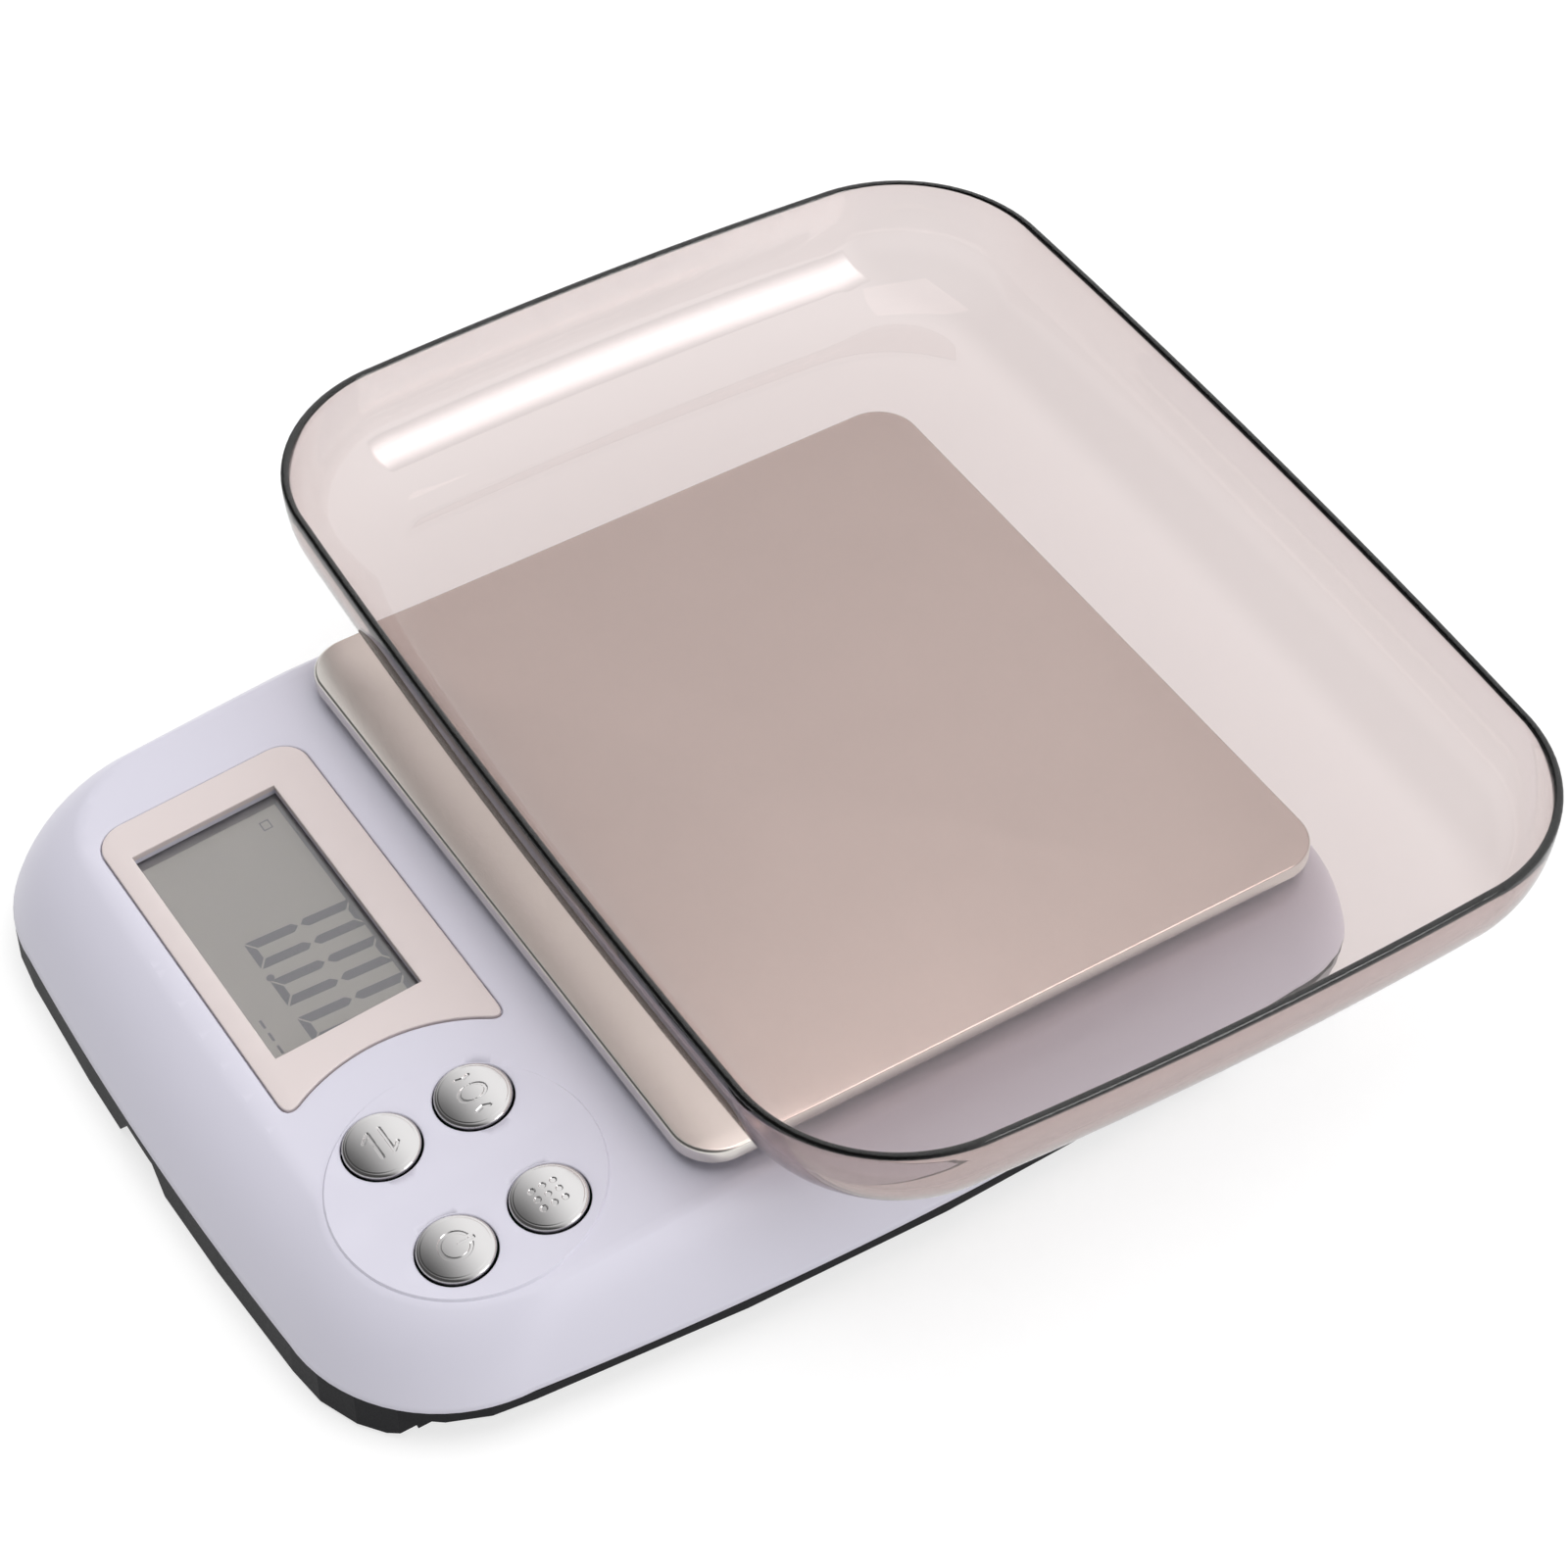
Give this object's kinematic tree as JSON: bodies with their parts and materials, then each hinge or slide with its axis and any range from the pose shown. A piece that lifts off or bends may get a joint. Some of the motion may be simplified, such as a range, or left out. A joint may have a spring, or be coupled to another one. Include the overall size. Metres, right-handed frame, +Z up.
{
  "type": "counting scale",
  "caption": "Low battery counter scale with a tilted control panel, four chromed keys, a stainless weighing platform on a bar load cell and a loose smoked clear tray.",
  "frame": {"origin": "middle of the whole object's bounding box in plan, at the surface it stands on", "axes": "+X to the user's right, +Y away from the user, +Z up"},
  "size_m": [0.2342, 0.2536, 0.06],
  "materials": {
    "white_shell": "fine satin, faint lavender white",
    "black_shell": "fine spark texture",
    "cream_panel": "satin cream",
    "clear_window": "clear",
    "lcd_glass": "grey liquid crystal glass",
    "white_insert": "plain moulded",
    "zebra_rubber": "matt",
    "green_board": "solder mask",
    "zinc_steel": "zinc plated",
    "black_resin": "moulded",
    "chromed_cap": "bright plated",
    "brushed_platform": "fine brushed, warm reflection",
    "bar_aluminium": "milled",
    "lead_grey": "sleeved",
    "lead_red": "insulated wire",
    "battery_jacket": "plain wrapped",
    "foot_rubber": "matt",
    "skid_grey": "matt grey",
    "smoked_clear": "smoked clear polystyrene, polished"
  },
  "bodies": {
    "casing": {"top_casing": "white_shell", "lower_casing": "black_shell", "display_bezel": "cream_panel", "display_window": "clear_window", "lcd_panel": "lcd_glass", "lcd_holder": "white_insert", "zebra_strips": "zebra_rubber", "main_board": "green_board", "board_screws": "zinc_steel", "controller_blob": "black_resin", "key_switches": "black_resin", "load_cell": "bar_aluminium", "strain_gauges": "white_insert", "load_spacer_fixed": "zinc_steel", "load_screws_fixed": "zinc_steel", "overload_stop": "zinc_steel", "load_cell_lead": "lead_grey", "battery_front": "battery_jacket", "battery_rear": "battery_jacket", "contact_springs": "zinc_steel", "contact_plates": "zinc_steel", "battery_leads": "lead_red", "foot_left": "foot_rubber", "foot_right": "foot_rubber", "corner_skid_left": "skid_grey", "corner_skid_right": "skid_grey", "casing_screws": "zinc_steel"},
    "platform": {"weighing_platform": "brushed_platform", "platform_carrier": "white_insert", "load_spacer_free": "zinc_steel", "load_screws_free": "zinc_steel"},
    "tray": {"weighing_tray": "smoked_clear"},
    "door": {"battery_door": "black_shell"},
    "key_unit": {"button_unit": "chromed_cap", "plunger_unit": "white_insert"},
    "key_zero": {"button_zero": "chromed_cap", "plunger_zero": "white_insert"},
    "key_power": {"button_power": "chromed_cap", "plunger_power": "white_insert"},
    "key_count": {"button_count": "chromed_cap", "plunger_count": "white_insert"}
  },
  "joints": [
    {"name": "press_unit", "type": "slide", "parent": "casing", "child": "key_unit", "axis": [0, 0.0844, -0.9964], "range_m": [0, 0.0009], "stiffness_N_per_m": 1800},
    {"name": "press_zero", "type": "slide", "parent": "casing", "child": "key_zero", "axis": [0, 0.0844, -0.9964], "range_m": [0, 0.0009], "stiffness_N_per_m": 1800},
    {"name": "press_power", "type": "slide", "parent": "casing", "child": "key_power", "axis": [0, 0.0844, -0.9964], "range_m": [0, 0.0009], "stiffness_N_per_m": 1800},
    {"name": "press_count", "type": "slide", "parent": "casing", "child": "key_count", "axis": [0, 0.0844, -0.9964], "range_m": [0, 0.0009], "stiffness_N_per_m": 1800},
    {"name": "platform_sink", "type": "slide", "parent": "casing", "child": "platform", "axis": [0, 0, -1], "range_m": [0, 0.0005], "stiffness_N_per_m": 60000, "deforming": ["load_cell"]},
    {"name": "tray_lift", "type": "slide", "parent": "platform", "child": "tray", "axis": [0, 0, 1], "range_m": [0, 0.08]},
    {"name": "door_slide", "type": "slide", "parent": "casing", "child": "door", "axis": [0, 1, 0], "range_m": [0, 0.012]}
  ]
}
